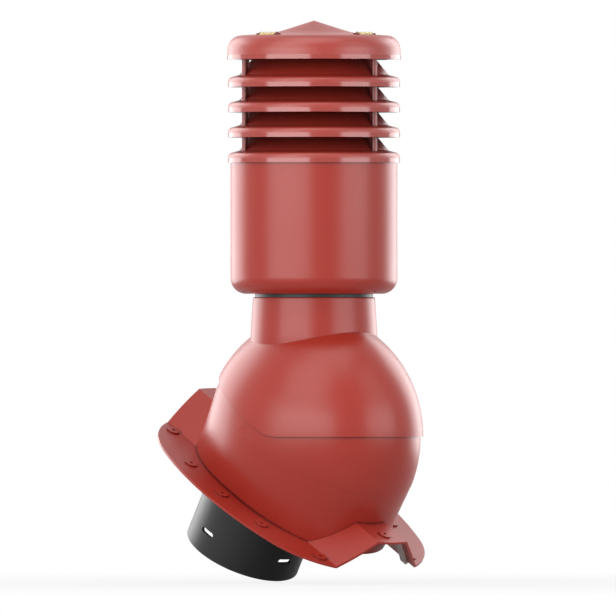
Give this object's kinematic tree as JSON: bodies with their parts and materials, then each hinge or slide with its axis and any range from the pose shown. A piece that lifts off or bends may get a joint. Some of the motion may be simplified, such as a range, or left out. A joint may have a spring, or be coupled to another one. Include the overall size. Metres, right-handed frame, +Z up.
{
  "type": "roof ventilation chimney",
  "caption": "Insulated roof vent stack: louvred, capped head on a riser, carried by a ball hood that tilts on a ribbed roof flange with a duct spigot below.",
  "frame": {"origin": "where the duct spigot's axis crosses the roof surface that the seal rests on", "axes": "+Z straight up along the stack, -Y down the roof slope, +X across the roof; the roof surface is pitched 30 degrees about X"},
  "size_m": [0.293, 0.3558, 0.7125],
  "materials": {
    "red_plastic": "satin moulded, brick red",
    "black_plastic": "satin black",
    "seal_rubber": "matt foam rubber",
    "screw_steel": "zinc plated",
    "insulation_wool": "pressed wool",
    "vial_clear": "clear",
    "vial_liquid": "yellow-green liquid",
    "plug_plastic": "dark brown"
  },
  "bodies": {
    "base": {"base_flange": "red_plastic", "roof_seal": "seal_rubber", "duct_spigot": "black_plastic", "plate_screws": "screw_steel"},
    "stack": {"hood": "red_plastic", "neck_seal": "seal_rubber", "riser_pipe": "black_plastic", "casing": "red_plastic", "insulation": "insulation_wool", "crown_ring": "red_plastic", "collar_screws": "screw_steel", "louvre_low": "red_plastic", "louvre_middle": "red_plastic", "louvre_top": "red_plastic", "cap": "red_plastic", "tie_rods": "screw_steel", "vial_front": "vial_clear", "vial_side": "vial_clear", "plug_front": "plug_plastic", "plug_side": "plug_plastic", "liquid_front": "vial_liquid", "liquid_side": "vial_liquid"}
  },
  "joints": [
    {"name": "hood_pitch", "type": "hinge", "parent": "base", "child": "stack", "pos_m": [0, -0.08187, 0.05781], "axis": [1, 0, 0], "range_deg": [-15, 15]}
  ]
}
